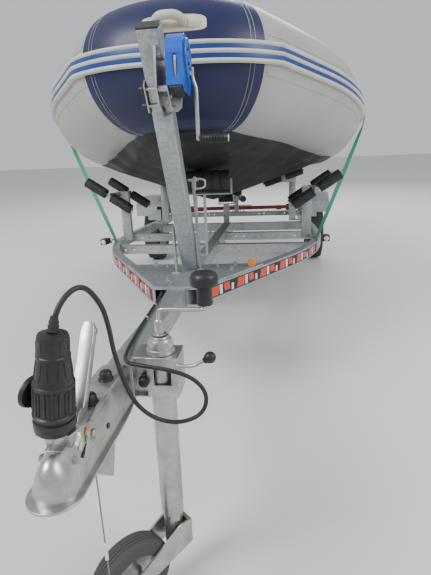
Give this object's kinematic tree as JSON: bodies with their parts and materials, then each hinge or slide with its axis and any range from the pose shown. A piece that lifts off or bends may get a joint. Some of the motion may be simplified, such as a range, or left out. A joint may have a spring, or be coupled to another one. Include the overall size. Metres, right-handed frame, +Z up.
{
  "type": "inflatable boat on a trailer",
  "caption": "Rigid-transom inflatable boat with an outboard motor, resting on rollers of a galvanised road trailer with winch post, coupling and jockey wheel",
  "frame": {"origin": "on the floor, under the middle of the whole object's bounding box", "axes": "+X to the boat's port side, +Y aft, +Z up; the trailer stands nose up by three degrees"},
  "size_m": [1.914, 5.2208, 1.6936],
  "materials": {
    "galvanised": "hot-dip galvanised, dull",
    "grey_fabric": "coated fabric, satin",
    "navy_fabric": "coated fabric, satin",
    "black_fabric": "coated fabric, matt, wrinkled",
    "ivory_rubber": "extruded, with blue stripes",
    "floor_board": "painted plywood",
    "tyre_rubber": "black, worn",
    "white_rim": "silver paint",
    "black_plastic": "moulded, matt",
    "black_rubber": "moulded, matt",
    "blue_paint": "powder coat, worn",
    "cowl_paint": "gloss",
    "motor_paint": "satin paint",
    "zinc": "zinc plated, yellowish",
    "red_paint": "dull red, faded",
    "lamp_red": "lens",
    "beige_rubber": "moulded, satin",
    "green_webbing": "woven strap",
    "cable_black": "cable sheath"
  },
  "bodies": {
    "trailer_with_boat": {"drawbar": "galvanised", "rail_port": "galvanised", "rail_starboard": "galvanised", "cross_members": "galvanised", "frame_plates": "galvanised", "axle_beam": "galvanised", "swing_arms": "galvanised", "mudguard_port": "black_plastic", "mudguard_starboard": "black_plastic", "tube_bow": "navy_fabric", "tube_port": "grey_fabric", "tube_starboard": "grey_fabric", "rubbing_strake": "ivory_rubber", "hull_bottom": "black_fabric", "floor_board": "floor_board", "transom": "floor_board", "thwart": "floor_board", "motor_clamp": "motor_paint", "winch_post": "galvanised", "post_cap": "black_plastic", "post_braces": "galvanised", "winch_plate": "galvanised", "winch_frame": "blue_paint", "keel_rollers": "black_rubber", "keel_roller_brackets": "galvanised", "roller_posts": "galvanised", "roller_rockers": "galvanised", "side_rollers_port": "black_rubber", "side_rollers_starboard": "black_rubber", "coupling_head": "zinc", "coupling_handle": "zinc", "jockey_clamp": "galvanised", "plug": "cable_black", "plug_cable": "cable_black", "safety_wire": "galvanised", "wire_ring": "galvanised", "tie_strap": "green_webbing", "bow_handle": "beige_rubber", "lamp_bar": "red_paint", "lamp_arms": "galvanised", "tail_lamps": "lamp_red"},
    "wheel_port": {"wheel_port_rim": "white_rim", "wheel_port_tyre": "tyre_rubber"},
    "wheel_starboard": {"wheel_starboard_rim": "white_rim", "wheel_starboard_tyre": "tyre_rubber"},
    "jockey_leg": {"jockey_tube": "galvanised"},
    "jockey_handle": {"jockey_crank": "zinc"},
    "jockey_screw_nut": {"jockey_nut": "galvanised"},
    "jockey_caster": {"jockey_fork": "galvanised"},
    "jockey_wheel": {"jockey_rim": "galvanised", "jockey_tyre": "tyre_rubber"},
    "winch_handle": {"winch_crank": "zinc"},
    "winch_spool": {"winch_drum": "galvanised"},
    "motor_tilting": {"motor_swivel": "motor_paint"},
    "motor_head": {"motor_leg": "motor_paint", "motor_cowl": "cowl_paint", "engine_block": "motor_paint", "tiller": "black_plastic"},
    "propeller": {"propeller": "motor_paint"}
  },
  "joints": [
    {"name": "wheel_port_spin", "type": "hinge", "parent": "trailer_with_boat", "child": "wheel_port", "pos_m": [0.85, 1.41192, 0.286], "axis": [1, 0, 0], "continuous": true},
    {"name": "wheel_starboard_spin", "type": "hinge", "parent": "trailer_with_boat", "child": "wheel_starboard", "pos_m": [-0.85, 1.41192, 0.286], "axis": [1, 0, 0], "continuous": true},
    {"name": "jockey_clamp_slide", "type": "slide", "parent": "trailer_with_boat", "child": "jockey_leg", "axis": [0, 0.0523, 0.9986], "range_m": [0, 0.25]},
    {"name": "jockey_crank_turn", "type": "hinge", "parent": "jockey_leg", "child": "jockey_handle", "pos_m": [0.1, -2.19982, 0.72963], "axis": [0, 0.0523, 0.9986], "range_deg": [-8640, 1728]},
    {"name": "jockey_screw", "type": "slide", "parent": "jockey_leg", "child": "jockey_screw_nut", "axis": [0, 0.0523, 0.9986], "range_m": [-0.12, 0.024]},
    {"name": "jockey_swivel", "type": "hinge", "parent": "jockey_screw_nut", "child": "jockey_caster", "pos_m": [0.1, -2.22284, 0.29023], "axis": [0, 0.0523, 0.9986], "continuous": true},
    {"name": "jockey_wheel_spin", "type": "hinge", "parent": "jockey_caster", "child": "jockey_wheel", "pos_m": [0.00766, -2.33506, 0.1085], "axis": [0.7431, -0.6682, 0.035], "continuous": true},
    {"name": "winch_crank_turn", "type": "hinge", "parent": "trailer_with_boat", "child": "winch_handle", "pos_m": [0.058, -1.7316, 1.35198], "axis": [1, 0, 0], "continuous": true},
    {"name": "winch_drum_turn", "type": "hinge", "parent": "trailer_with_boat", "child": "winch_spool", "pos_m": [0.058, -1.72121, 1.3975], "axis": [1, 0, 0], "continuous": true},
    {"name": "motor_tilt", "type": "hinge", "parent": "trailer_with_boat", "child": "motor_tilting", "pos_m": [0, 2.1567, 1.12217], "axis": [1, 0, 0], "range_deg": [0, 62]},
    {"name": "motor_steer", "type": "hinge", "parent": "motor_tilting", "child": "motor_head", "pos_m": [0, 2.25157, 1.11719], "axis": [0, 0.0523, 0.9986], "range_deg": [-40, 40]},
    {"name": "propeller_spin", "type": "hinge", "parent": "motor_head", "child": "propeller", "pos_m": [0, 2.44096, 0.5465], "axis": [0, 0.9986, -0.0523], "continuous": true}
  ],
  "couplings": [
    {"joint": "jockey_screw", "follows": "jockey_crank_turn", "m_per_rad": 0.00079577},
    {"joint": "winch_drum_turn", "follows": "winch_crank_turn", "ratio": -0.34592}
  ]
}
